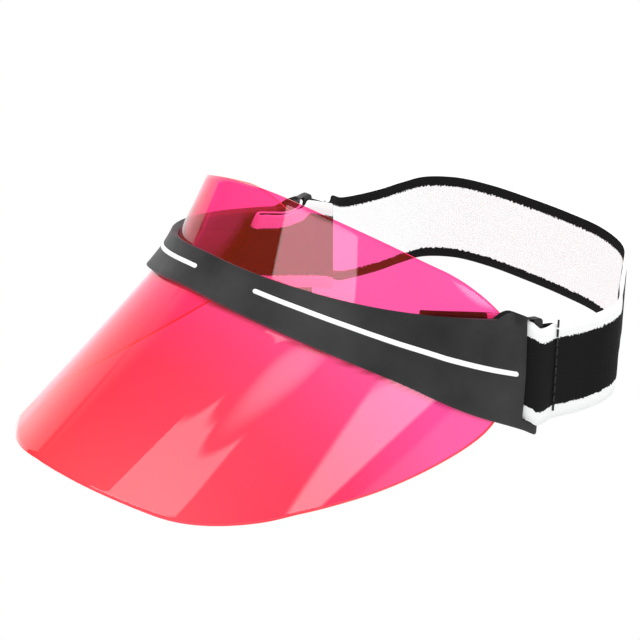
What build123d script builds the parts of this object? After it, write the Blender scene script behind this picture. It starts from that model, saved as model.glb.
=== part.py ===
from build123d import *
import os
from math import cos, hypot, radians, sin

# Sun visor: a bent transparent plate in a rubber headband, closed behind by an elastic strap.
# Millimetres. +Z up, -Y forward, X = 0 through the middle of the forehead. The visor lies on a
# table as it does by itself: on the brim's edge, the headband's ends and the strap's lower edge.

# --- Headband centre line: a curve on which everything in front is built -------------------------
band_half = 122.0            # arc from the middle of the forehead to the rubber's end
front_height = 58.9          # height of the centre line at the forehead
side_drop = 38.3             # how much lower it is at the rubber's ends
front_turn = 92.0            # degrees of turn to one end, linear part
shoulder_turn = 35.0         # added where the band bends round the temples
end_straightening = 25.0     # taken away towards the ends

# --- Lay of the left side ------------------------------------------------------------------------
# Both sides are made alike, but the visor is limp and lies twisted on the table: its left side
# bends in sooner, dips sooner and holds its end higher than the right side does.
left_bend_2 = 47.6           # degrees of turn, times the share of the half band to that power
left_bend_3 = 43.6
left_bend_4 = -20.0
left_bend_5 = -67.7
left_dip = 23.8              # height lost soon after the forehead
left_dip_start = 0.15
left_recovery = 25.8         # height regained towards the end
left_crown_lean = 0.047      # added to the slopes below, from the temple on
left_crown_back = 0.044
left_brim_side = 0.353
left_brim_front = -0.492
left_toe_in = -0.307
left_upright = 0.24
left_change = 0.5            # share of the half band over which those slopes come in

# --- Slopes across the band, as run per unit of height ---------------------------------------------
crown_lean = 0.42            # how far the plate above the band leans back
brim_lean_side = 0.894       # how far the brim runs forward, at the temples
brim_lean_front = 0.557      # added at the forehead
brim_toe_in = 0.107          # how far the brim closes in sideways
bend_blend = 7.0             # length over which the plate bends from crown to brim
upright_from = 0.62          # share of band_half from which the rubber turns upright

# --- Rubber headband -------------------------------------------------------------------------------
band_thickness = 2.4
band_top_front = 6.1         # half heights of the rubber above and below the centre line
band_top_flare = 17.5
band_top_power = 2.8
band_bottom_front = 7.6
band_bottom_flare = 12.1
band_bottom_power = 1.7
ear_radius = 1.8             # round corners of the rubber's ends
end_bar = 4.3                # rubber left behind the strap's slot
slot_width = 3.2
slot_start = band_half - end_bar - slot_width   # arc at which the slot begins
slot_clearance = 0.75        # above and below the strap

# --- Visor plate ---------------------------------------------------------------------------------
plate_thickness = 1.0
plate_before_slot = 5.0      # from the plate's end to the strap's slot
plate_half = slot_start - plate_before_slot
brim_length = 78.0           # below the centre line
brim_shoulder = 44.0         # arc at which the brim's edge starts to round off
brim_rounding = 0.0078       # how fast it rounds off
brim_rounding_power = 2.165
crown_length = 32.2          # above the centre line
crown_fall = 0.00064         # how fast the crown's edge falls sideways
crown_corner = 86.0          # arc at which the crown's corner begins
crown_corner_fall = 0.0137

# --- Inlaid stripes --------------------------------------------------------------------------------
stripe_start = 23.0          # the right stripe, from the middle of the forehead
stripe_before_slot = 3.5     # from the stripe's end to the strap's slot
stripe_end = slot_start - stripe_before_slot
left_stripe_start = 1.4      # the left stripe begins nearly at the middle
stripe_width = 1.7
stripe_depth = 0.7
stripe_proud = 0.2
stripe_rise = 1.3            # how far the stripe climbs off the centre line at its rear end

# --- Adhesive between rubber and plate ----------------------------------------------------------------
glue_thickness = 0.4
glue_skin = 0.06             # clearance on each face of the adhesive
glue_half_width = 4.5
glue_before_edge = 5.5       # from the adhesive's end to the plate's end
glue_half = plate_half - glue_before_edge

# --- Elastic strap ----------------------------------------------------------------------------------
strap_width = 35.0
strap_thickness = 1.6
strap_above_middle = 1.5     # the strap passes a little above the middle of the rubber's ends
strap_gap = 0.3              # between the strap and the rubber that it wraps
seam_behind = 9.0            # from the rubber's end to the seam in the strap
seam_arc = band_half + seam_behind
fold_thickness = 3.3         # two layers pressed flat
tail_right = 36.0            # folded end in front of the slot, inside the rubber
tail_left = 22.0
stitch_radius = 0.35
stitch_length = 2.6
stitch_skin = 0.03           # clearance between a stitch and the strap
stitch_pitch = 3.4

# Plan of the free strap behind the seams, chosen by hand: it lies in a lazy, uneven loop.
rest_band_half = 122.0       # the resting line below is laid out for this half length of band
strap_rest_points = [
    (66.6, 105.5), (67.6, 114.0), (64.6, 124.0), (54.5, 136.5), (43.0, 151.0), (31.0, 164.5),
    (14.0, 171.8), (-6.0, 173.6), (-26.0, 173.2), (-44.0, 171.4), (-59.0, 166.6), (-67.5, 157.0),
    (-69.6, 146.0), (-68.4, 134.0), (-66.2, 122.5), (-62.6, 112.0), (-58.4, 103.0),
]
rear_split_right = 3         # the stretch between these two of the points moves back as one piece
rear_split_left = 12
settle_right = 0.55          # share of half the strap over which its lower edge comes down
settle_left = 0.33
fold_rise = 0.22             # how much less than the rubber the folded ends climb forwards


# --- Geometry of the centre line and of the surface built on it ------------------------------------
def turn(arc):
    s = arc / band_half
    if s >= 0:
        return radians(front_turn * s + shoulder_turn * s**3 - end_straightening * s**5)
    m = -s
    bend = left_bend_2 * m**2 + left_bend_3 * m**3 + left_bend_4 * m**4 + left_bend_5 * m**5
    return -radians(front_turn * m + bend)


plan_step = 0.5
plan_reach = 150.0


def trace_plan(side):
    points = [(0.0, 0.0)]
    for step_number in range(int(plan_reach / plan_step)):
        angle = turn(side * (step_number + 0.5) * plan_step)
        last_x, last_y = points[-1]
        points.append((last_x + side * plan_step * cos(angle), last_y + side * plan_step * sin(angle)))
    return points


plan_right = trace_plan(1)
plan_left = trace_plan(-1)


def centre(arc):
    plan = plan_right if arc >= 0 else plan_left
    position = min(abs(arc) / plan_step, len(plan) - 1.001)
    index = int(position)
    part = position - index
    (x0, y0), (x1, y1) = plan[index], plan[index + 1]
    share = abs(arc) / band_half
    z = front_height - side_drop * share**2
    if arc < 0:
        z += left_recovery * share**2 - left_dip * share**2 / (share + left_dip_start)
    return Vector(x0 + (x1 - x0) * part, y0 + (y1 - y0) * part, z)


def smooth_step(value):
    u = min(max(value, 0.0), 1.0)
    return u * u * (3 - 2 * u)


def left_share(arc):
    """How far the left side's own slopes have come in."""
    return smooth_step(-arc / band_half / left_change)


def upright_share(arc):
    start = upright_from + (left_upright if arc < 0 else 0.0)
    return smooth_step((abs(arc) / band_half - start) / (1 - start))


def blend_upright(arc, direction, sign):
    share = upright_share(arc)
    mixed = direction.normalized() * (1 - share) + Vector(0, 0, sign) * share
    return mixed.normalized()


def crown_direction(arc):
    angle = turn(arc)
    left = left_share(arc)
    lean = crown_lean + left * left_crown_lean
    back = lean * cos(angle) + left * left_crown_back
    return blend_upright(arc, Vector(-lean * sin(angle), back, 1), 1)


def brim_direction(arc):
    angle = turn(arc)
    left = left_share(arc)
    side_lean = brim_lean_side + left * left_brim_side
    forward = side_lean + (brim_lean_front + left * left_brim_front) * cos(angle)
    toe_in = brim_toe_in + left * left_toe_in
    return blend_upright(arc, Vector(-toe_in * sin(angle), -forward, -1), -1)


def ramp(length):
    return (length + hypot(length, bend_blend)) / 2


def surface(arc, across):
    """Point on the plate's outer face: across is + up the crown and - down the brim."""
    crown = crown_direction(arc) * ramp(across)
    brim = brim_direction(arc) * ramp(-across)
    return centre(arc) + crown + brim


def outward(arc, across):
    along = surface(arc + 0.05, across) - surface(arc - 0.05, across)
    up = surface(arc, across + 0.05) - surface(arc, across - 0.05)
    return along.cross(up).normalized()


def offset_point(arc, across, distance):
    return surface(arc, across) + outward(arc, across) * distance


def spread(first, last, count):
    return [first + (last - first) * i / (count - 1) for i in range(count)]


def thickened(grid, thickness):
    """Solid sheet from a grid of points on one face; negative thickness grows inwards."""
    face = Face.make_surface_from_array_of_points(grid, tol=0.01, min_deg=3, max_deg=3)
    return Solid.thicken(face, thickness)


def sheet_solid(arcs, low_edge, high_edge, start, thickness, rows=9):
    """Sheet that follows the surface between two edges, growing outwards from an offset."""
    grid = []
    for arc in arcs:
        grid.append([offset_point(arc, t, start) for t in spread(low_edge(arc), high_edge(arc), rows)])
    return thickened(grid, thickness)


# --- Visor plate -----------------------------------------------------------------------------------
def brim_edge(arc):
    beyond = max(abs(arc) - brim_shoulder, 0.0)
    return -(brim_length - brim_rounding * beyond**brim_rounding_power)


def crown_edge(arc):
    beyond = max(abs(arc) - crown_corner, 0.0)
    return crown_length - crown_fall * arc**2 - crown_corner_fall * beyond**2


plate_outer = -glue_thickness
plate_inner = plate_outer - plate_thickness
visor_plate = sheet_solid(spread(-plate_half, plate_half, 41), brim_edge, crown_edge, plate_outer, -plate_thickness, 17)


# --- Rubber headband -------------------------------------------------------------------------------
def band_top(arc):
    return band_top_front + band_top_flare * (abs(arc) / band_half) ** band_top_power


def band_bottom(arc):
    return -(band_bottom_front + band_bottom_flare * (abs(arc) / band_half) ** band_bottom_power)


headband = sheet_solid(spread(-band_half, band_half, 41), band_bottom, band_top, 0.0, band_thickness, 9)
ends = [edge for edge in headband.edges() if edge.length < 2 * band_thickness]
headband = headband.fillet(ear_radius, ends)

strap_middle = (band_top(band_half) + band_bottom(band_half)) / 2 + strap_above_middle
slot_half = strap_width / 2 + slot_clearance


def slot_cutter(side):
    arcs = [side * a for a in spread(slot_start, slot_start + slot_width, 5)]
    if side < 0:
        arcs.reverse()
    low, high = strap_middle - slot_half, strap_middle + slot_half
    return sheet_solid(arcs, lambda arc: low, lambda arc: high, -3 * band_thickness, 6 * band_thickness, 5)


for side in (1, -1):
    headband = headband.cut(slot_cutter(side))


# --- White stripes inlaid along the band ------------------------------------------------------------
def stripe(side):
    arcs = spread(stripe_start, stripe_end, 41)
    if side < 0:
        arcs = spread(stripe_start - stripe_end - left_stripe_start, -left_stripe_start, 41)
    thickness = stripe_depth + stripe_proud

    def low_edge(arc):
        return stripe_rise * (abs(arc) / stripe_end) ** 6 - stripe_width / 2

    def high_edge(arc):
        return low_edge(arc) + stripe_width
    strip = sheet_solid(arcs, low_edge, high_edge, band_thickness - stripe_depth, thickness, 4)
    ends = [edge for edge in strip.edges() if edge.length < 1.2 * thickness]
    return strip.fillet(0.3 * stripe_width, ends)


stripe_right = stripe(1)
stripe_left = stripe(-1)
for inlay in (stripe_right, stripe_left):
    headband = headband.cut(inlay)

# --- Adhesive line that holds the plate to the rubber --------------------------------------------------
adhesive_strip = sheet_solid(
    spread(-glue_half, glue_half, 41), lambda arc: -glue_half_width, lambda arc: glue_half_width,
    -glue_skin, 2 * glue_skin - glue_thickness, 5)


# --- Elastic strap -----------------------------------------------------------------------------------
def beside_band(arc, side, distance):
    """Plan point at an offset from the line on which the rubber's ends stand."""
    point = offset_point(side * arc, strap_middle, distance)
    return (point.X, point.Y)


def path_spline(points):
    return Spline(*[Vector(x, y, 0) for x, y in points])


over_bar = band_thickness + strap_gap + strap_thickness / 2
at_seam = band_thickness / 2 + strap_thickness / 2
bar_front = slot_start + slot_width
right_lead = [beside_band(bar_front - 1.2, 1, over_bar), beside_band(band_half, 1, over_bar),
              beside_band(seam_arc, 1, at_seam)]
left_lead = [beside_band(seam_arc, -1, at_seam), beside_band(band_half, -1, over_bar),
             beside_band(bar_front - 1.2, -1, over_bar)]
rest_scale = band_half / rest_band_half
rest_points = [(x * rest_scale, y * rest_scale) for x, y in strap_rest_points]
strap_path = path_spline(right_lead + rest_points + left_lead)


stretch_gap = 0.3            # between the rear stretch and the two side stretches
lift_right = surface(band_half, strap_middle).Z - strap_width / 2
lift_left = surface(-band_half, strap_middle).Z - strap_width / 2


def strap_lift(share):
    """Height of the strap's lower edge at a share of its path: 0 on the table, up at the slots."""
    if share < 0.5:
        return lift_right * (1 - smooth_step(2 * share / settle_right))
    return lift_left * (1 - smooth_step(2 * (1 - share) / settle_left))


def share_at(point):
    return min(spread(0.0, 1.0, 2001), key=lambda u: (strap_path @ u - Vector(*point, 0)).length)


def ribbon(first, last, count):
    """Upright stretch of the strap between two shares of its path."""
    grid = []
    for share in spread(first, last, count):
        ahead = strap_path % share
        across = Vector(ahead.Y, -ahead.X, 0) * (strap_thickness / 2)
        base = strap_path @ share + across + Vector(0, 0, strap_lift(share))
        grid.append([base + Vector(0, 0, h) for h in spread(0.0, strap_width, 4)])
    return thickened(grid, -strap_thickness)


split_right = share_at(rest_points[rear_split_right])
split_left = share_at(rest_points[rear_split_left])
gap_share = stretch_gap / strap_path.length
strap_side_right = ribbon(0.0, split_right - gap_share, 41)
strap_rear = ribbon(split_right, split_left, 81)
strap_side_left = ribbon(split_left + gap_share, 1.0, 41)


# --- Folded ends of the strap inside the rubber --------------------------------------------------------
def folded_end(side, tail):
    """Both layers of the folded end, from the front of the fold to the seam."""
    start = slot_start - tail
    arcs = [side * a for a in spread(start, seam_arc, 41)]
    if side < 0:
        arcs.reverse()

    def inner_side(arc):
        ahead = min(max((abs(arc) - plate_half) / (seam_arc - plate_half), 0.0), 1.0)
        clear = plate_inner - strap_gap
        return clear + (at_seam - strap_thickness / 2 - strap_gap - clear) * ahead * ahead
    grid = []
    for arc in arcs:
        middle = strap_middle - fold_rise * max(plate_half - abs(arc), 0.0)
        levels = spread(middle - strap_width / 2, middle + strap_width / 2, 7)
        grid.append([offset_point(arc, t, inner_side(arc)) for t in levels])
    return thickened(grid, -fold_thickness)


folded_end_right = folded_end(1, tail_right)
folded_end_left = folded_end(-1, tail_left)


# --- Seams: a row of black stitches across each folded end -------------------------------------------
def seam(side):
    share = share_at(right_lead[-1]) if side > 0 else share_at(left_lead[0])
    ahead = strap_path % share
    across = Vector(ahead.Y, -ahead.X, 0) * (strap_thickness / 2 + stitch_radius + stitch_skin)
    foot = strap_path @ share + across + Vector(0, 0, strap_lift(share))
    count = int((strap_width - stitch_length) / stitch_pitch) + 1
    margin = (strap_width - (count - 1) * stitch_pitch - stitch_length) / 2
    stitches = []
    for number in range(count):
        low = foot + Vector(0, 0, margin + number * stitch_pitch)
        stitches.append(Solid.make_cylinder(stitch_radius, stitch_length, Plane(origin=low, z_dir=(0, 0, 1))))
    return Compound(children=stitches)


seam_right = seam(1)
seam_left = seam(-1)

# --- Origin at the middle of the footprint, at table height ---------------------------------------------
nodes = {
    "visor_plate": visor_plate,
    "headband": headband,
    "stripe_right": stripe_right,
    "stripe_left": stripe_left,
    "adhesive_strip": adhesive_strip,
    "strap_side_right": strap_side_right,
    "strap_rear": strap_rear,
    "strap_side_left": strap_side_left,
    "folded_end_right": folded_end_right,
    "folded_end_left": folded_end_left,
    "seam_right": seam_right,
    "seam_left": seam_left,
}
boxes = [piece.bounding_box() for piece in nodes.values()]
low = Vector(min(b.min.X for b in boxes), min(b.min.Y for b in boxes), min(b.min.Z for b in boxes))
high = Vector(max(b.max.X for b in boxes), max(b.max.Y for b in boxes), max(b.max.Z for b in boxes))
to_origin = Location(Vector(-(low.X + high.X) / 2, -(low.Y + high.Y) / 2, -low.Z))

os.makedirs("parts", exist_ok=True)
for name, piece in nodes.items():
    moved = piece.moved(to_origin)
    export_step(moved, f"parts/{name}.step")
    box = moved.bounding_box()
    print(name, "volume", round(moved.volume), "low", tuple(round(v, 2) for v in box.min),
          "high", tuple(round(v, 2) for v in box.max), "valid", moved.is_valid)
print("shift", to_origin.position)
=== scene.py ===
import bpy
import numpy as np
from math import pi, radians
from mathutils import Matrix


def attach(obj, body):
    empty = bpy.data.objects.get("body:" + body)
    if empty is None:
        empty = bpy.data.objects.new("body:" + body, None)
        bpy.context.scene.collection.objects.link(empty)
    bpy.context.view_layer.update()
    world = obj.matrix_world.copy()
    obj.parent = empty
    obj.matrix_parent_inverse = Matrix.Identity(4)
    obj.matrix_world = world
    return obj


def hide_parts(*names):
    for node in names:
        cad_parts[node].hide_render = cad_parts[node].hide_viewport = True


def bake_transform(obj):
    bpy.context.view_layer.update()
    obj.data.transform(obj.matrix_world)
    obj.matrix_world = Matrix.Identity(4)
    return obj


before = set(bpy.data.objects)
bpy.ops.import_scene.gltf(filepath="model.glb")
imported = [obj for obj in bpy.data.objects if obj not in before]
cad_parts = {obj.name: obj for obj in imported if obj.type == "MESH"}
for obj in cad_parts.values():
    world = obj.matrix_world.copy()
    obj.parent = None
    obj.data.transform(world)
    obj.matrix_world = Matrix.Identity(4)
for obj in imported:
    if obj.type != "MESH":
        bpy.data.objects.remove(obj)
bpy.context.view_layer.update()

# --- Camera and light ----------------------------------------------------------------------------
# The visor stands alone in an even white studio. Bright panels, seen only in its glossy plate,
# make the veils of light there. Nothing here belongs to the object.
camera = bpy.data.objects.new("camera", bpy.data.cameras.new("camera"))
bpy.context.scene.collection.objects.link(camera)
bpy.context.scene.camera = camera
camera.location = (0.41525, -0.34979, 0.27964)
looking_down, turned = 25.0, 50.7
camera.rotation_euler = (radians(90 - looking_down), 0, radians(turned))
camera.data.sensor_width = 36
camera.data.lens = 97.9
bpy.context.scene.view_settings.view_transform = "Standard"

world = bpy.data.worlds.new("studio")
bpy.context.scene.world = world
world.use_nodes = True
nodes, links = world.node_tree.nodes, world.node_tree.links
nodes.clear()


def calc(nodes, links, operation, *values):
    """A Math node fed with numbers or sockets."""
    node = nodes.new("ShaderNodeMath")
    node.operation = operation
    for socket, value in zip(node.inputs, values):
        if isinstance(value, (int, float)):
            socket.default_value = value
        else:
            links.new(value, socket)
    return node.outputs["Value"]


coords = nodes.new("ShaderNodeTexCoord")
split = nodes.new("ShaderNodeSeparateXYZ")
links.new(coords.outputs["Generated"], split.inputs["Vector"])
ahead = calc(nodes, links, "MULTIPLY", split.outputs["Y"], -1.0)
bearing = calc(nodes, links, "DEGREES", calc(nodes, links, "ARCTAN2", split.outputs["X"], ahead))
rise = calc(nodes, links, "DEGREES", calc(nodes, links, "ARCSINE", split.outputs["Z"]))


def light_panel(corners, softness, strength):
    """A bright panel of the studio, given by the bearings and rises of its corners."""
    glow = strength
    for k, (x0, y0) in enumerate(corners):
        x1, y1 = corners[(k + 1) % len(corners)]
        length = ((x1 - x0) ** 2 + (y1 - y0) ** 2) ** 0.5
        side_x, side_y = (y0 - y1) / length, (x1 - x0) / length
        inside = calc(nodes, links, "ADD", calc(nodes, links, "MULTIPLY", bearing, side_x),
                      calc(nodes, links, "MULTIPLY", rise, side_y))
        edge = nodes.new("ShaderNodeMapRange")
        edge.interpolation_type = "SMOOTHSTEP"
        start = x0 * side_x + y0 * side_y
        edge.inputs["From Min"].default_value = start - softness[k]
        edge.inputs["From Max"].default_value = start + softness[k]
        links.new(inside, edge.inputs["Value"])
        glow = calc(nodes, links, "MULTIPLY", edge.outputs["Result"], glow)
    return glow


panels = [
    # a low panel, mirrored in the crown
    light_panel([(-6, 8), (54, 8), (54, 29), (-3, 29)], [1, 0.8, 1.5, 0.6], 5.8),
    # a broad one with a slanted top, mirrored in the middle of the brim
    light_panel([(7, 31), (62.3, 31), (62.3, 33), (59, 39.4), (38.5, 53.0), (24.5, 58.5),
                 (7, 60.4)],
                [0.6, 0.6, 0.4, 0.3, 0.3, 0.3, 0.6], 4.2),
    # the strip above it, mirrored in the brim under the rubber
    light_panel([(22, 65.2), (62.3, 39.5), (62.3, 75), (22, 75)], [1.2, 0.8, 3, 5], 4.0),
    # a narrow slip at the side, mirrored in the brim's right wing
    light_panel([(98.7, -20.5), (116, -20.5), (86.6, 9)], [0.8, 1.2, 0.6], 6.3),
    # the dim left wall and its bright upper part, mirrored where the plate turns away
    light_panel([(-179, -60), (-78, -60), (-78, 5), (-82, 27), (-179, 36)], [5, 2, 3, 5, 5], 1.2),
    light_panel([(-115, 24), (-77, 27), (-70, 50), (-115, 50)], [3, 6, 4, 4], 1.2),
    # the floor
    light_panel([(-180, -90), (180, -90), (180, -25.5), (-180, -25.5)], [1, 1, 0.8, 1], 1.2),
]
unlit_wall = 0.06
seen = unlit_wall
for panel in panels:
    seen = calc(nodes, links, "ADD", panel, seen)
path = nodes.new("ShaderNodeLightPath")
surround = nodes.new("ShaderNodeMix")
surround.data_type = "RGBA"
even_light = 1.12
surround.inputs["A"].default_value = (even_light, even_light, even_light, 1)
links.new(seen, surround.inputs["B"])
links.new(path.outputs["Is Glossy Ray"], surround.inputs["Factor"])
backdrop = nodes.new("ShaderNodeMix")
backdrop.data_type = "RGBA"
backdrop.inputs["B"].default_value = (1, 1, 1, 1)
links.new(path.outputs["Is Camera Ray"], backdrop.inputs["Factor"])
links.new(surround.outputs["Result"], backdrop.inputs["A"])
background = nodes.new("ShaderNodeBackground")
world_out = nodes.new("ShaderNodeOutputWorld")
links.new(backdrop.outputs["Result"], background.inputs["Color"])
links.new(background.outputs["Background"], world_out.inputs["Surface"])

overhead = bpy.data.objects.new("overhead", bpy.data.lights.new("overhead", "AREA"))
bpy.context.scene.collection.objects.link(overhead)
overhead.data.size, overhead.data.energy = 1.2, 8
overhead.location = (0.1, 0.1, 1.3)
overhead.visible_camera = overhead.visible_glossy = False

# --- Rubber headband -----------------------------------------------------------------------------
# One moulded strip of matt black rubber, bent round the forehead and taller towards its ends, with
# a slot at each end for the strap. It is glued on the plate's outer face; every piece in front
# is laid out on that face, by its arc from the middle and its height across it.
band_half, band_thickness = 0.122, 0.0024
step = 0.00025
reach = np.arange(0, 0.15 + step, step)
front_offset = np.array([-0.000904, -0.055179, 0.058909])   # the middle of the band
bend_radius = 0.007                                          # between crown and brim


def ease(value):
    """Smooth step from 0 to 1."""
    u = np.clip(value, 0, 1)
    return u * u * (3 - 2 * u)


def heading(s):
    """Direction of the band in plan; the limp left side bends in sooner than the right."""
    m = np.abs(s)
    right = np.radians(92 * m + 35 * m**3 - 25 * m**5)
    left = np.radians(92 * m + 47.6 * m**2 + 43.6 * m**3 - 20 * m**4 - 67.7 * m**5)
    return np.where(s < 0, -left, right)


def plan(side):
    """The band's centre line in plan, from the middle to one end."""
    angle = heading(side * (reach[:-1] + step / 2) / band_half)
    x = side * np.concatenate([[0], np.cumsum(np.cos(angle) * step)])
    return x, side * np.concatenate([[0], np.cumsum(np.sin(angle) * step)])


plan_right, plan_left = plan(1), plan(-1)


def on_surface(arc, across, out=0.0):
    """Points of the plate's outer face: along the band, up or down across it, and off it."""
    arc, across = np.broadcast_arrays(np.asarray(arc, float), np.asarray(across, float))

    def place(a, t):
        s = a / band_half
        m = np.abs(s)
        angle = heading(s)
        lean, side = np.cos(angle), np.sin(angle)
        zero = np.zeros_like(s)
        left = np.where(s < 0, ease(m / 0.5), 0)
        back = 0.42 + 0.047 * left
        crown = np.stack([-back * side, back * lean + 0.044 * left, zero + 1], -1)
        toe_in = 0.107 - 0.307 * left
        forward = 0.894 + 0.353 * left + (0.557 - 0.492 * left) * lean
        brim = np.stack([-toe_in * side, -forward, zero - 1], -1)
        start = np.where(s < 0, 0.86, 0.62)
        upright = ease((m - start) / (1 - start))[..., None]
        parts = []
        for slope, sign in ((crown, 1), (brim, -1)):
            slope = slope / np.linalg.norm(slope, axis=-1, keepdims=True)
            slope = slope * (1 - upright) + upright * np.array([0, 0, sign])
            parts.append(slope / np.linalg.norm(slope, axis=-1, keepdims=True))
        up = (t + np.hypot(t, bend_radius)) / 2
        down = (-t + np.hypot(t, bend_radius)) / 2
        x, y = (np.where(s < 0, np.interp(np.abs(a), reach, plan_left[k]),
                         np.interp(np.abs(a), reach, plan_right[k])) for k in (0, 1))
        dip = np.where(s < 0, 0.0258 * m**2 - 0.0238 * m**2 / (m + 0.15), 0)
        centre = np.stack([x, y, dip - 0.0383 * m**2], -1) + front_offset
        return centre + parts[0] * up[..., None] + parts[1] * down[..., None]

    e = 5e-5
    normal = np.cross(place(arc + e, across) - place(arc - e, across),
                      place(arc, across + e) - place(arc, across - e))
    normal /= np.linalg.norm(normal, axis=-1, keepdims=True)
    return place(arc, across) + normal * np.asarray(out, float)[..., None]


def build_mesh(name, verts, faces):
    """A smooth-shaded object from points and faces."""
    mesh = bpy.data.meshes.new(name)
    mesh.from_pydata([tuple(v) for v in verts], [], faces)
    mesh.update()
    mesh.polygons.foreach_set("use_smooth", [True] * len(mesh.polygons))
    piece = bpy.data.objects.new(name, mesh)
    bpy.context.scene.collection.objects.link(piece)
    return piece


def thick_sheet(name, arcs, across, outer, inner, skip=lambda i, j: False):
    """Closed sheet between two offsets over a grid of arcs and heights, less the skipped cells."""
    n, m = across.shape
    front = on_surface(arcs, across, outer).reshape(-1, 3)
    back = on_surface(arcs, across, inner).reshape(-1, 3)
    verts = np.concatenate([front, back])
    cells = {(i, j) for i in range(n - 1) for j in range(m - 1) if not skip(i, j)}
    faces = []
    for i, j in sorted(cells):
        a, b, c, d = i * m + j, (i + 1) * m + j, (i + 1) * m + j + 1, i * m + j + 1
        faces.append((a, b, c, d))
        faces.append((n * m + d, n * m + c, n * m + b, n * m + a))
        neighbours = (((i, j - 1), a, b), ((i + 1, j), b, c),
                      ((i, j + 1), c, d), ((i - 1, j), d, a))
        for near, p, q in neighbours:
            if near not in cells:
                faces.append((q, p, n * m + p, n * m + q))
    used = sorted({v for f in faces for v in f})
    renumber = {v: k for k, v in enumerate(used)}
    return build_mesh(name, verts[used], [tuple(renumber[v] for v in f) for f in faces])


slot_start, slot_width, slot_low, slot_high = 0.1145, 0.0032, -0.0148, 0.0217
slot_end = slot_start + slot_width
ear = 0.0018                                                 # radius of the four corners
arc_right = np.unique(np.round(np.concatenate([
    np.linspace(0, slot_start, 86), np.linspace(slot_start, slot_end, 4),
    np.linspace(slot_end, band_half - ear, 4),
    band_half - ear * (1 - np.sin(np.linspace(0, pi / 2, 6)))]), 7))
arcs = np.concatenate([-arc_right[:0:-1], arc_right])
top = 0.0061 + 0.0175 * (np.abs(arcs) / band_half) ** 2.8


def band_bottom(arc):
    """Height of the rubber's lower edge."""
    return -(0.0076 + 0.0121 * (np.abs(arc) / band_half) ** 1.7)


bottom = band_bottom(arcs)
into_ear = np.clip((np.abs(arcs) - (band_half - ear)) / ear, 0, 1)
rounding = ear * (1 - np.sqrt(1 - into_ear**2))
top, bottom = top - rounding, bottom + rounding
row_change, row_blend = 0.098, 0.012                         # where the rows line up with the slot
fade = ease((np.abs(arcs) - row_change) / row_blend)
cut_low = (bottom + 0.22 * (top - bottom)) * (1 - fade) + slot_low * fade
cut_high = (bottom + 0.93 * (top - bottom)) * (1 - fade) + slot_high * fade
across = np.concatenate([
    bottom[:, None] + (cut_low - bottom)[:, None] * np.linspace(0, 1, 4)[None, :],
    cut_low[:, None] + (cut_high - cut_low)[:, None] * np.linspace(0, 1, 9)[None, 1:],
    cut_high[:, None] + (top - cut_high)[:, None] * np.linspace(0, 1, 4)[None, 1:]], 1)
arc_grid = np.repeat(arcs[:, None], across.shape[1], 1)


def in_slot(i, j):
    middle = abs(arcs[i] + arcs[i + 1]) / 2
    return slot_start < middle < slot_end and 3 <= j < 11


headband = thick_sheet("headband_rubber", arc_grid, across, np.full_like(across, band_thickness),
                       np.zeros_like(across), in_slot)
bevel = headband.modifiers.new("rounded_edges", "BEVEL")
bevel.width, bevel.segments, bevel.limit_method, bevel.angle_limit = 0.0005, 3, "ANGLE", radians(50)

rubber = bpy.data.materials.new("matt_rubber")
rubber.use_nodes = True
nodes, links = rubber.node_tree.nodes, rubber.node_tree.links
shader = nodes["Principled BSDF"]

# soft mottling, and a painted sheen that makes the left side paler
coords = nodes.new("ShaderNodeTexCoord")
mottle = nodes.new("ShaderNodeTexNoise")
mottle.inputs["Scale"].default_value = 55
mottle.inputs["Detail"].default_value = 5
links.new(coords.outputs["Object"], mottle.inputs["Vector"])
tone = nodes.new("ShaderNodeValToRGB")
tone.color_ramp.elements[0].position, tone.color_ramp.elements[1].position = 0.35, 0.7
tone.color_ramp.elements[0].color = (0.007, 0.007, 0.0073, 1)
tone.color_ramp.elements[1].color = (0.024, 0.024, 0.025, 1)
links.new(mottle.outputs["Fac"], tone.inputs["Fac"])
split = nodes.new("ShaderNodeSeparateXYZ")
links.new(coords.outputs["Object"], split.inputs["Vector"])
left_sheen = nodes.new("ShaderNodeMapRange")
left_sheen.inputs["From Min"].default_value = 0.035
left_sheen.inputs["From Max"].default_value = -0.045
left_sheen.inputs["To Min"].default_value = 0.9
left_sheen.inputs["To Max"].default_value = 2.6
links.new(split.outputs["X"], left_sheen.inputs["Value"])
tone_with_sheen = nodes.new("ShaderNodeVectorMath")
tone_with_sheen.operation = "SCALE"
links.new(tone.outputs["Color"], tone_with_sheen.inputs[0])
links.new(left_sheen.outputs["Result"], tone_with_sheen.inputs["Scale"])
links.new(tone_with_sheen.outputs["Vector"], shader.inputs["Base Color"])
shader.inputs["Roughness"].default_value = 0.62
shader.inputs["Specular IOR Level"].default_value = 0.36
shader.inputs["Sheen Weight"].default_value = 0.06
shader.inputs["Sheen Roughness"].default_value = 0.5

# fine moulded grain
grain = nodes.new("ShaderNodeTexNoise")
grain.inputs["Scale"].default_value = 1800
links.new(coords.outputs["Object"], grain.inputs["Vector"])
bump = nodes.new("ShaderNodeBump")
bump.inputs["Strength"].default_value = 0.12
bump.inputs["Distance"].default_value = 0.0002
links.new(grain.outputs["Fac"], bump.inputs["Height"])
links.new(bump.outputs["Normal"], shader.inputs["Normal"])
headband.data.materials.append(rubber)
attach(headband, "visor")
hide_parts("headband")

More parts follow.
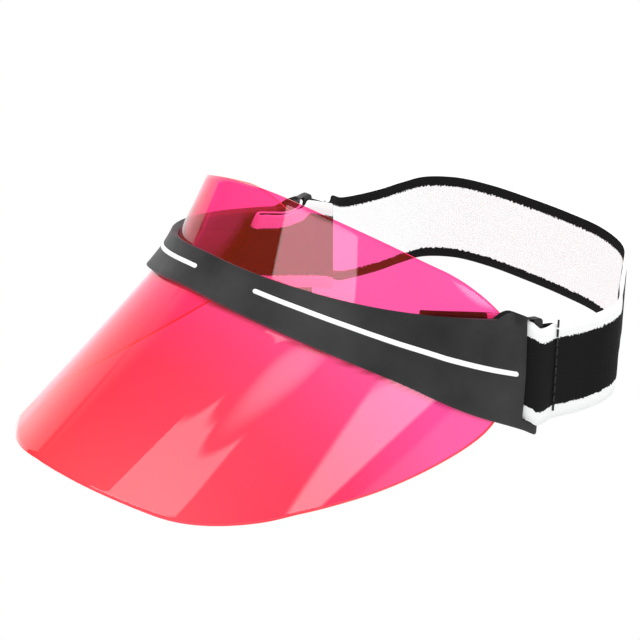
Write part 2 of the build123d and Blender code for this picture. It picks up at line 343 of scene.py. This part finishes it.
# --- White stripes -------------------------------------------------------------------------------
# Two narrow white strips with round ends, one each side, pressed into a groove along the rubber
# and standing a hair proud of it.
stripe_length, stripe_half = 0.088, 0.00085
white = bpy.data.materials.new("white_inlay")
white.use_nodes = True
nodes, links = white.node_tree.nodes, white.node_tree.links
shader = nodes["Principled BSDF"]
shader.inputs["Base Color"].default_value = (0.93, 0.93, 0.93, 1)
shader.inputs["Roughness"].default_value = 0.45
coords = nodes.new("ShaderNodeTexCoord")
speckle = nodes.new("ShaderNodeTexNoise")
speckle.inputs["Scale"].default_value = 900
links.new(coords.outputs["Object"], speckle.inputs["Vector"])
bump = nodes.new("ShaderNodeBump")
bump.inputs["Strength"].default_value = 0.08
bump.inputs["Distance"].default_value = 0.0001
links.new(speckle.outputs["Fac"], bump.inputs["Height"])
links.new(bump.outputs["Normal"], shader.inputs["Normal"])
stripe_depth, stripe_proud, stripe_crown = 0.0006, 0.0002, 0.00012
drift_at = [0, 0.023, 0.04, 0.055, 0.070, 0.085, 0.100, 0.111]
drift = [0, 0.0007, 0.0005, 0, -0.0007, -0.00115, -0.0009, -0.0006]   # of the right stripe
for node, first in (("stripe_right", 0.023), ("stripe_left", -0.0894)):
    round_end = stripe_half * (1 - np.cos(np.linspace(0, pi / 2, 7)))
    straight = np.linspace(stripe_half, stripe_length - stripe_half, 90)[1:-1]
    run = np.concatenate([round_end, straight, stripe_length - round_end[::-1]])
    from_end = np.minimum(run, stripe_length - run)
    past_round = np.clip(stripe_half - from_end, 0, None)
    half = np.sqrt(np.clip(stripe_half**2 - past_round**2, 1e-10, None))
    stripe_arcs = first + run
    middle = 0.0013 * (np.abs(stripe_arcs) / 0.111) ** 6
    middle += np.interp(stripe_arcs, drift_at, drift)
    spread = np.linspace(-1, 1, 7)
    stripe_across = middle[:, None] + half[:, None] * spread[None, :]
    crowned = np.broadcast_to(band_thickness + stripe_proud - stripe_crown * spread**2,
                              stripe_across.shape)
    stripe = thick_sheet("inlay_" + node, np.repeat(stripe_arcs[:, None], 7, 1), stripe_across,
                         crowned, np.full_like(stripe_across, band_thickness - stripe_depth))
    stripe.data.materials.append(white)
    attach(stripe, "visor")
    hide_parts(node)

# --- Visor plate ---------------------------------------------------------------------------------
# One sheet of clear tinted plastic, a millimetre thick, bent along the band: a low crown above it
# and a wide brim below. It is glued inside the rubber; its cut edges gather the tint and carry a
# painted glow.
plate_half, plate_outer, plate_inner = 0.1095, -0.0004, -0.0014
arc_right = plate_half * np.sin(np.linspace(0, pi / 2, 110))
plate_arcs = np.concatenate([-arc_right[:0:-1], arc_right])
brim_length, brim_shoulder, crown_length, crown_corner = 78.0, 44.0, 32.2, 86.0   # millimetres
past_shoulder = np.clip(np.abs(plate_arcs) * 1000 - brim_shoulder, 0, None)
low_edge = -(brim_length - 0.0078 * past_shoulder**2.165) / 1000
past_corner = np.clip(np.abs(plate_arcs) * 1000 - crown_corner, 0, None)
high_edge = (crown_length - 0.00064 * (plate_arcs * 1000) ** 2 - 0.0137 * past_corner**2) / 1000


def trimmed(stations, amounts):
    """Smooth change of a cut edge, in millimetres at a few places along the sheet."""
    fine = np.linspace(-125, 125, 1001)
    window = np.hanning(29) / np.hanning(29).sum()
    smoothed = np.convolve(np.interp(fine, stations, amounts), window, "same")
    return np.interp(plate_arcs * 1000, fine, smoothed) / 1000


# the brim is a little fuller at its front left, then fuller and leaner by turns on its right wing
low_edge -= trimmed(
    [-60, -44, -30, -15, 0, 12, 30, 60, 66, 72, 80, 84, 88, 92, 96, 99, 102, 106, 109.5],
    [0, 0.4, 1.4, 1.6, 1.3, 1.0, 0.85, 0.95, 1.2, 1.7, 1.8, 0.7, -0.4, -1.5, -1.8, -1.2, 0, 1.8,
     0.8])
# the crown is cut lower at its left
high_edge += trimmed([-85, -65, -50, -40, -20, -10, 0, 6, 13, 22],
                     [0, -1.1, -1.8, -2.0, -1.9, -1.7, -1.3, -1.0, -0.3, 0])
# more rows where the sheet bends under the rubber
rows = np.concatenate([np.linspace(0, 0.64, 40), np.linspace(0.64, 0.8, 22)[1:],
                       np.linspace(0.8, 1, 12)[1:]])
plate_across = low_edge[:, None] + (high_edge - low_edge)[:, None] * rows[None, :]
plate = thick_sheet("visor_plate_sheet", np.repeat(plate_arcs[:, None], len(rows), 1),
                    plate_across, np.full_like(plate_across, plate_outer),
                    np.full_like(plate_across, plate_inner))

# how much the rubber's lower edge shades the sheet
shade_reach, shade_cover = 0.0009, 0.004
below_band = band_bottom(plate_arcs)[:, None] - plate_across
shade = np.exp(-(np.clip(below_band, 0, None) / shade_reach) ** 2) * (below_band > -shade_cover)
shade_layer = plate.data.attributes.new("rubber_shade", "FLOAT", "POINT")
shade_layer.data.foreach_set("value", np.tile(shade.ravel(), 2))

# colour the sheet lets through, from the brim's front left to the crown and the right; the deeper
# red towards the brim is painted shade, the pink shadow the sheet casts on the table seen through
# it
tint_and_table_shade_axis, tint_and_table_shade_start = (-1.605, 7.69, 1.877), 0.923
tint_and_table_shade_stops = [(0.04, (1.0, 0.09, 0.136)), (0.23, (1.0, 0.062, 0.13)), (0.35, (1.0, 0.057, 0.138)),
              (0.46, (1.0, 0.061, 0.2)), (0.565, (1.0, 0.08, 0.29)), (0.73, (1.0, 0.11, 0.42)),
              (0.92, (1.0, 0.12, 0.46))]
far_side_painted_light, shaded_tint = (1, 0.62, 0.8, 1), (0.08, 0.002, 0.004, 1)
dye_glow = (0.16, 0.016, 0.003, 1)
mirror_share = 0.04                                          # reflected when seen straight on
refraction = 1.5


def clear_plastic(name, tinted):
    """One face of the sheet: see-through, mirror-like at a slant, with the red glow of its dye."""
    material = bpy.data.materials.new(name)
    material.use_nodes = True
    nodes, links = material.node_tree.nodes, material.node_tree.links
    nodes.clear()
    facing = nodes.new("ShaderNodeLayerWeight")
    facing.inputs["Blend"].default_value = 0.5
    grazing = calc(nodes, links, "POWER", facing.outputs["Facing"], 5.0)
    reflected = calc(nodes, links, "ADD",
                     calc(nodes, links, "MULTIPLY", grazing, 1 - mirror_share), mirror_share)
    clear = nodes.new("ShaderNodeBsdfTransparent")
    through = clear
    if tinted:
        coords = nodes.new("ShaderNodeTexCoord")
        # the tint ramp also holds the painted shade of the sheet's shadow on the table, deepest at
        # the brim
        slant = nodes.new("ShaderNodeVectorMath")
        slant.operation = "DOT_PRODUCT"
        slant.inputs[1].default_value = tint_and_table_shade_axis
        links.new(coords.outputs["Object"], slant.inputs[0])
        tint_and_table_shade = nodes.new("ShaderNodeValToRGB")
        while len(tint_and_table_shade.color_ramp.elements) < len(tint_and_table_shade_stops):
            tint_and_table_shade.color_ramp.elements.new(0.5)
        for stop, (place, colour) in zip(tint_and_table_shade.color_ramp.elements, tint_and_table_shade_stops):
            stop.position, stop.color = place, (*colour, 1)
        links.new(calc(nodes, links, "ADD", slant.outputs["Value"], tint_and_table_shade_start), tint_and_table_shade.inputs["Fac"])

        # painted light: the left side, which turns away, is made paler
        split = nodes.new("ShaderNodeSeparateXYZ")
        links.new(coords.outputs["Object"], split.inputs["Vector"])
        far_side = nodes.new("ShaderNodeMapRange")
        far_side.inputs["From Min"].default_value = -0.032
        far_side.inputs["From Max"].default_value = -0.046
        links.new(split.outputs["X"], far_side.inputs["Value"])
        paler = nodes.new("ShaderNodeMix")
        paler.data_type = "RGBA"
        links.new(far_side.outputs["Result"], paler.inputs["Factor"])
        links.new(tint_and_table_shade.outputs["Color"], paler.inputs["A"])
        paler.inputs["B"].default_value = far_side_painted_light

        # beside the rubber it is darker
        shade = nodes.new("ShaderNodeAttribute")
        shade.attribute_name = "rubber_shade"
        darker = nodes.new("ShaderNodeMix")
        darker.data_type = "RGBA"
        depth = calc(nodes, links, "MULTIPLY", shade.outputs["Fac"], 0.85)
        links.new(depth, darker.inputs["Factor"])
        links.new(paler.outputs["Result"], darker.inputs["A"])
        darker.inputs["B"].default_value = shaded_tint

        # a slanted look goes through more of the sheet
        cosine = calc(nodes, links, "SUBTRACT", 1.0, facing.outputs["Facing"])
        sine_squared = calc(nodes, links, "SUBTRACT", 1.0,
                            calc(nodes, links, "POWER", cosine, 2.0))
        inside = calc(nodes, links, "SUBTRACT", 1.0,
                      calc(nodes, links, "DIVIDE", sine_squared, refraction**2))
        deeper = nodes.new("ShaderNodeGamma")
        links.new(darker.outputs["Result"], deeper.inputs["Color"])
        links.new(calc(nodes, links, "POWER", inside, -0.5), deeper.inputs["Gamma"])
        links.new(deeper.outputs["Color"], clear.inputs["Color"])
        dye = nodes.new("ShaderNodeBsdfTranslucent")
        dye.inputs["Color"].default_value = dye_glow
        through = nodes.new("ShaderNodeAddShader")
        links.new(clear.outputs["BSDF"], through.inputs[0])
        links.new(dye.outputs["BSDF"], through.inputs[1])
    gloss = nodes.new("ShaderNodeBsdfGlossy")
    gloss.inputs["Roughness"].default_value = 0.02
    mix = nodes.new("ShaderNodeMixShader")
    links.new(reflected, mix.inputs["Fac"])
    links.new(through.outputs[0], mix.inputs[1])
    links.new(gloss.outputs["BSDF"], mix.inputs[2])
    surface_out = nodes.new("ShaderNodeOutputMaterial")
    links.new(mix.outputs["Shader"], surface_out.inputs["Surface"])
    return material


plate.data.materials.append(clear_plastic("clear_tinted_plastic", True))
plate.data.materials.append(clear_plastic("clear_plastic_inside", False))

# painted glow: the cut edges give off a faint orange-red light of their own
cut_edge = bpy.data.materials.new("cut_edge_painted_glow")
cut_edge.use_nodes = True
shader = cut_edge.node_tree.nodes["Principled BSDF"]
shader.inputs["Base Color"].default_value = (0.7, 0.05, 0.04, 1)
shader.inputs["Roughness"].default_value = 0.3
shader.inputs["Emission Color"].default_value = (1.0, 0.1, 0.06, 1)
shader.inputs["Emission Strength"].default_value = 0.4
plate.data.materials.append(cut_edge)
sheet_points = len(plate_arcs) * len(rows)
for face in plate.data.polygons:
    on_front = sum(v < sheet_points for v in face.vertices)
    face.material_index = {4: 0, 0: 1}.get(on_front, 2)      # outer face, inner face, cut edge
    face.use_smooth = face.material_index < 2
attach(plate, "visor")
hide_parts("visor_plate")

# --- Adhesive ------------------------------------------------------------------------------------
# A thin dark line of adhesive that holds the plate to the rubber; it stays out of sight between
# the two, so the solid itself is shown with a cloudy dark skin.
glue = bpy.data.materials.new("dark_adhesive")
glue.use_nodes = True
nodes, links = glue.node_tree.nodes, glue.node_tree.links
shader = nodes["Principled BSDF"]
coords = nodes.new("ShaderNodeTexCoord")
cloud = nodes.new("ShaderNodeTexNoise")
cloud.inputs["Scale"].default_value = 300
links.new(coords.outputs["Object"], cloud.inputs["Vector"])
tone = nodes.new("ShaderNodeValToRGB")
tone.color_ramp.elements[0].color = (0.02, 0.02, 0.02, 1)
tone.color_ramp.elements[1].color = (0.05, 0.05, 0.05, 1)
links.new(cloud.outputs["Fac"], tone.inputs["Fac"])
links.new(tone.outputs["Color"], shader.inputs["Base Color"])
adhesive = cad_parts["adhesive_strip"]
adhesive.data.materials.clear()
adhesive.data.materials.append(glue)

# --- Elastic strap -------------------------------------------------------------------------------
# One 35 mm wide knitted elastic: black with white borders on the outside, white with black
# borders on the inside. Each end goes over the rubber's end bar, in through the slot, forward
# behind the plate, and turns back on itself to a sewn seam behind the bar.
strap_width, strap_half = 0.035, 0.0008
strap_middle = 0.00345                                       # its middle, above the band's middle
over_bar, at_seam = 0.0035, 0.0020
outer_layer, inner_layer, fold_round = -0.0026, -0.0042, 0.0012
fold_from, fold_slope = 0.114, 0.22                          # the fold sinks in front of the slot
tuck_from, tuck_in = 0.112, 0.0015                           # right: drawn in behind the rubber
spread_out = 0.3                                             # left: spread downwards
across_count = 13
rows_across = np.linspace(-0.5, 0.5, across_count) * strap_width
sag_at = [0.1165, 0.1180, 0.1192, 0.122, 0.126, 0.131, 0.1335]
sag = [-0.0004, -0.0012, -0.0016, -0.0008, 0.0008, 0.0028, 0.0032]    # of the right end, at the bar


def folded_rows(side, tail):
    """Rows of the folded end from its raw edge, round the fold and out over the bar."""
    front = slot_start - tail
    raw_edge = 0.1335 if side > 0 else 0.1318
    back = [(raw_edge, 0.0002), (0.1300, 0.0001), (0.1260, -0.0005), (0.1215, -0.0014),
            (0.1165, -0.0026), (0.1110, -0.0038), (0.1040, inner_layer), (0.0960, inner_layer),
            (0.0880, inner_layer), (0.0810, inner_layer)]
    fold = [(front + fold_round, inner_layer), (front, (inner_layer + outer_layer) / 2),
            (front + fold_round, outer_layer)]
    forth = [(0.0830, outer_layer), (0.0910, outer_layer), (0.0990, outer_layer), (0.1060, -0.0025),
             (0.1105, -0.0022), (0.1140, -0.0009), (0.1156, 0.0010), (0.1170, 0.0028),
             (0.1192, over_bar), (0.1220, over_bar), (0.1260, 0.0029), (0.1310, at_seam)]
    clear_of_fold = front + 0.003
    rows = []
    for a, d in ([point for point in back if point[0] > clear_of_fold] + fold
                 + [point for point in forth if point[0] > clear_of_fold]):
        sunk = max(fold_from - a, 0.0)
        heights = strap_middle - fold_slope * sunk + rows_across
        lowest = heights[0]
        if side > 0 and a < tuck_from:
            lowest = max(lowest, band_bottom(a) + tuck_in)
        if side < 0:
            lowest -= spread_out * sunk
        heights = np.linspace(lowest, heights[-1], across_count)
        if side > 0:
            heights += np.interp(a, sag_at, sag)
        rows.append(on_surface(np.full(across_count, side * a), heights, d))
    return rows


# the free stretch behind the head, from right to left: place in plan and lift off the table, in mm
loose_line = [
    (66.6, 105.5, 1.4), (67.6, 114.0, 1.9), (64.6, 124.0, 1.4), (54.5, 136.5, 0.6),
    (43.0, 151.0, 0), (31.0, 164.5, 0), (14.0, 171.8, 0), (-6.0, 173.6, 0), (-26.0, 173.2, 0),
    (-45.0, 171.6, 0), (-60.5, 167.0, 0), (-69.5, 157.5, 0), (-70.5, 146.0, 0),
    (-69.5, 134.0, 0.3), (-69.3, 122.0, 0.9), (-67.0, 111.0, 3.0), (-61.5, 101.5, 7.6)]
tail_right, tail_left = 0.036, 0.022
right_rows, left_rows = folded_rows(1, tail_right), folded_rows(-1, tail_left)
loose_rows = []
for x, y, lift in loose_line:
    low = np.array([x * 0.001 + front_offset[0], y * 0.001 + front_offset[1], lift * 0.001])
    upright = np.stack([0 * rows_across, 0 * rows_across, rows_across + strap_width / 2], -1)
    loose_rows.append(low + upright)
stations = np.array(right_rows + loose_rows + left_rows[::-1])


def smooth_line(points, per_metre=1600):
    """Evenly sampled centripetal Catmull-Rom curve through rows of points."""
    middle = points[:, points.shape[1] // 2]
    spans = np.linalg.norm(np.diff(middle, axis=0), axis=1)
    knots = np.concatenate([[0], np.cumsum(np.sqrt(spans))])
    ahead = np.concatenate([points[:1] * 2 - points[1:2], points,
                            points[-1:] * 2 - points[-2:-1]])
    t = np.concatenate([[2 * knots[0] - knots[1]], knots, [2 * knots[-1] - knots[-2]]])
    out = []
    for k in range(1, len(ahead) - 2):
        length = np.linalg.norm(middle[k] - middle[k - 1])
        for u in np.linspace(t[k], t[k + 1], max(3, int(length * per_metre)), endpoint=False):
            p = [ahead[k - 1], ahead[k], ahead[k + 1], ahead[k + 2]]
            s = t[k - 1:k + 3]
            a1 = (p[0] * (s[1] - u) + p[1] * (u - s[0])) / (s[1] - s[0])
            a2 = (p[1] * (s[2] - u) + p[2] * (u - s[1])) / (s[2] - s[1])
            a3 = (p[2] * (s[3] - u) + p[3] * (u - s[2])) / (s[3] - s[2])
            b1 = (a1 * (s[2] - u) + a2 * (u - s[0])) / (s[2] - s[0])
            b2 = (a2 * (s[3] - u) + a3 * (u - s[1])) / (s[3] - s[1])
            out.append((b1 * (s[2] - u) + b2 * (u - s[1])) / (s[2] - s[1]))
    out.append(ahead[-2])
    return np.array(out)


line = smooth_line(stations)
along = np.gradient(line, axis=0)
upward = np.gradient(line, axis=1)
normal = np.cross(along, upward)
normal /= np.linalg.norm(normal, axis=-1, keepdims=True)
count, width = line.shape[:2]
half_here = np.ones(width) * strap_half
half_here[[0, -1]] = strap_half * 0.55                       # the woven edges are thinner
verts = np.concatenate([(line + normal * half_here[None, :, None]).reshape(-1, 3),
                        (line - normal * half_here[None, :, None]).reshape(-1, 3)])
lengths = np.linalg.norm(np.diff(line[:, width // 2], axis=0), axis=1)
distance = np.concatenate([[0], np.cumsum(lengths)])
faces, sheet_side = [], []                                   # side 0 is black, side 1 white
size = count * width
for i in range(count - 1):
    for j in range(width - 1):
        a, b = i * width + j, (i + 1) * width + j
        c, d = b + 1, a + 1
        faces.append((a, b, c, d))
        sheet_side.append(0)
        faces.append((size + d, size + c, size + b, size + a))
        sheet_side.append(1)
    for j, flip in ((0, False), (width - 1, True)):
        a, b = i * width + j, (i + 1) * width + j
        quad = (b, a, size + a, size + b)
        faces.append(quad[::-1] if flip else quad)
        sheet_side.append(0)
for i, flip in ((0, True), (count - 1, False)):
    for j in range(width - 1):
        a, b = i * width + j, i * width + j + 1
        quad = (a, b, size + b, size + a)
        faces.append(quad[::-1] if flip else quad)
        sheet_side.append(0)
strap = build_mesh("elastic_strap", verts, faces)
layout = strap.data.uv_layers.new(name="weave")
for loop in strap.data.loops:
    v = loop.vertex_index % size
    layout.data[loop.index].uv = (distance[v // width], (v % width) / (width - 1) * strap_width)

# the layer of the right fold that lies against the plate shows its black-edged side
layer_start, layer_end = 0.056, 0.087
per_station = 2 * width
for n, side in enumerate(sheet_side[:(count - 1) * per_station]):
    if layer_start < distance[n // per_station] < layer_end:
        sheet_side[n] = 1 - side
strap.data.polygons.foreach_set("material_index", sheet_side)


def knitted(name, centre_colour, border_colour, border):
    """Knitted elastic: two tones that meet in a ragged line, with fine ribs along it."""
    material = bpy.data.materials.new(name)
    material.use_nodes = True
    nodes, links = material.node_tree.nodes, material.node_tree.links
    shader = nodes["Principled BSDF"]
    uv = nodes.new("ShaderNodeUVMap")
    uv.uv_map = "weave"
    split = nodes.new("ShaderNodeSeparateXYZ")
    links.new(uv.outputs["UV"], split.inputs["Vector"])

    # a ragged border line between the two tones
    off_middle = calc(nodes, links, "SUBTRACT", split.outputs["Y"], strap_width / 2)
    from_edge = calc(nodes, links, "SUBTRACT", strap_width / 2,
                     calc(nodes, links, "ABSOLUTE", off_middle))
    ragged = nodes.new("ShaderNodeTexNoise")
    ragged.inputs["Scale"].default_value = 900
    ragged.inputs["Detail"].default_value = 3
    links.new(uv.outputs["UV"], ragged.inputs["Vector"])
    wander = calc(nodes, links, "MULTIPLY",
                  calc(nodes, links, "SUBTRACT", ragged.outputs["Fac"], 0.5), 0.0022)
    edge = calc(nodes, links, "ADD", from_edge, wander)
    blend = nodes.new("ShaderNodeMapRange")
    blend.inputs["From Min"].default_value = border - 0.00012
    blend.inputs["From Max"].default_value = border + 0.00012
    links.new(edge, blend.inputs["Value"])
    tone = nodes.new("ShaderNodeMix")
    tone.data_type = "RGBA"
    tone.inputs["A"].default_value = border_colour
    tone.inputs["B"].default_value = centre_colour
    links.new(blend.outputs["Result"], tone.inputs["Factor"])
    links.new(tone.outputs["Result"], shader.inputs["Base Color"])
    shader.inputs["Roughness"].default_value = 0.9
    shader.inputs["Specular IOR Level"].default_value = 0.08

    # fine ribs along it, broken up by the courses of the knit
    rib_pitch, course_pitch = 0.0009, 0.0011
    ribs = calc(nodes, links, "SINE",
                calc(nodes, links, "MULTIPLY", split.outputs["Y"], 2 * pi / rib_pitch))
    courses = calc(nodes, links, "SINE",
                   calc(nodes, links, "MULTIPLY", split.outputs["X"], 2 * pi / course_pitch))
    stitches = calc(nodes, links, "MULTIPLY", ribs, courses)
    relief = calc(nodes, links, "ADD", calc(nodes, links, "MULTIPLY", ribs, 0.5),
                  calc(nodes, links, "MULTIPLY", stitches, 0.5))
    bump = nodes.new("ShaderNodeBump")
    bump.inputs["Strength"].default_value = 0.5
    bump.inputs["Distance"].default_value = 0.00015
    links.new(relief, bump.inputs["Height"])
    links.new(bump.outputs["Normal"], shader.inputs["Normal"])
    return material


yarn_black = (0.009, 0.009, 0.009, 1)
strap.data.materials.append(knitted("elastic_outside", yarn_black, (0.84, 0.85, 0.85, 1), 0.005))
# the inside's white is painted a little cool to offset the pink light the plate throws on it
strap.data.materials.append(knitted("elastic_inside", (0.93, 0.97, 0.967, 1), yarn_black, 0.004))
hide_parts("strap_side_right", "strap_rear", "strap_side_left", "folded_end_right",
            "folded_end_left")
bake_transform(strap)

# --- Seams ---------------------------------------------------------------------------------------
# Black thread sews each folded end to the strap in one upright row of ten stitches; the solids
# are shown as they are, with a twisted thread's skin.
thread = bpy.data.materials.new("black_thread")
thread.use_nodes = True
nodes, links = thread.node_tree.nodes, thread.node_tree.links
shader = nodes["Principled BSDF"]
shader.inputs["Base Color"].default_value = (0.012, 0.012, 0.013, 1)
shader.inputs["Roughness"].default_value = 0.7
coords = nodes.new("ShaderNodeTexCoord")
twist = nodes.new("ShaderNodeTexWave")
twist.inputs["Scale"].default_value = 900
twist.bands_direction = "DIAGONAL"
links.new(coords.outputs["Object"], twist.inputs["Vector"])
bump = nodes.new("ShaderNodeBump")
bump.inputs["Strength"].default_value = 0.4
bump.inputs["Distance"].default_value = 0.0001
links.new(twist.outputs["Fac"], bump.inputs["Height"])
links.new(bump.outputs["Normal"], shader.inputs["Normal"])
for node in ("seam_right", "seam_left"):
    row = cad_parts[node]
    row.data.materials.clear()
    row.data.materials.append(thread)
